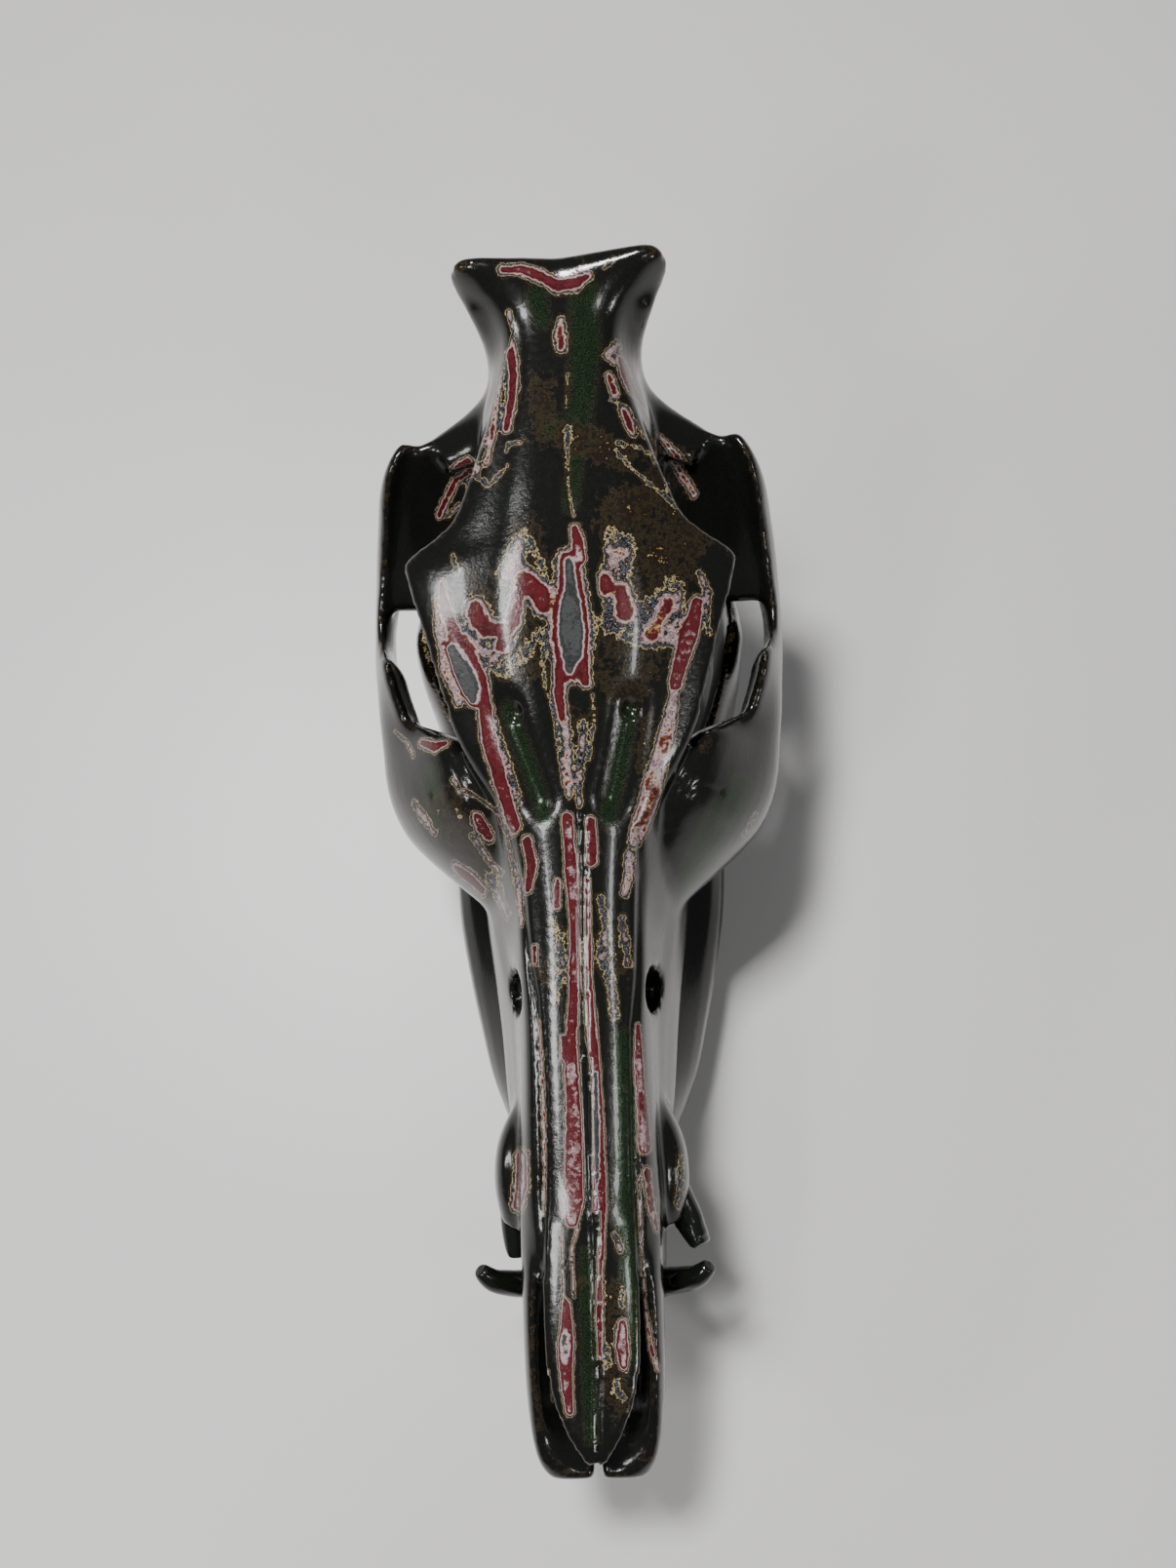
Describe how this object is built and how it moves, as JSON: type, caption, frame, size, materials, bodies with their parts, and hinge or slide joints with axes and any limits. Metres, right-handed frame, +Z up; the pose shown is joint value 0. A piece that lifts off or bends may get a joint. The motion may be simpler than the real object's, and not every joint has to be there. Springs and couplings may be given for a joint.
{
  "type": "pig skull",
  "caption": "Long narrow pig skull with its lower jaw, teeth and short tusks, standing on the jaw, in a gloss black lacquer rubbed through to coloured layers.",
  "frame": {"origin": "the middle of the skull's box, at the level of the table that the lower jaw stands on", "axes": "+Y towards the crest at the back of the head, -Y to the snout, +Z up, +X to the side seen on the right from above with the snout below"},
  "size_m": [0.1298, 0.3422, 0.2113],
  "materials": {
    "bone": "gloss lacquer, rubbed through on the high spots to thin red, pink, cream and grey layers",
    "tooth": "gloss black lacquer"
  },
  "bodies": {
    "root": {"cranium": "bone", "lower_jaw": "bone", "upper_incisor_1_left": "tooth", "upper_incisor_1_right": "tooth", "upper_incisor_2_left": "tooth", "upper_incisor_2_right": "tooth", "upper_incisor_3_left": "tooth", "upper_incisor_3_right": "tooth", "upper_canine_left": "tooth", "upper_canine_right": "tooth", "upper_premolar_1_left": "tooth", "upper_premolar_1_right": "tooth", "upper_premolar_2_left": "tooth", "upper_premolar_2_right": "tooth", "upper_premolar_3_left": "tooth", "upper_premolar_3_right": "tooth", "upper_premolar_4_left": "tooth", "upper_premolar_4_right": "tooth", "upper_molar_1_left": "tooth", "upper_molar_1_right": "tooth", "upper_molar_2_left": "tooth", "upper_molar_2_right": "tooth", "upper_molar_3_left": "tooth", "upper_molar_3_right": "tooth", "lower_incisor_1_left": "tooth", "lower_incisor_1_right": "tooth", "lower_incisor_2_left": "tooth", "lower_incisor_2_right": "tooth", "lower_incisor_3_left": "tooth", "lower_incisor_3_right": "tooth", "lower_canine_left": "tooth", "lower_canine_right": "tooth", "lower_premolar_1_left": "tooth", "lower_premolar_1_right": "tooth", "lower_premolar_2_left": "tooth", "lower_premolar_2_right": "tooth", "lower_premolar_3_left": "tooth", "lower_premolar_3_right": "tooth", "lower_premolar_4_left": "tooth", "lower_premolar_4_right": "tooth", "lower_molar_1_left": "tooth", "lower_molar_1_right": "tooth", "lower_molar_2_left": "tooth", "lower_molar_2_right": "tooth", "lower_molar_3_left": "tooth", "lower_molar_3_right": "tooth"}
  },
  "joints": []
}
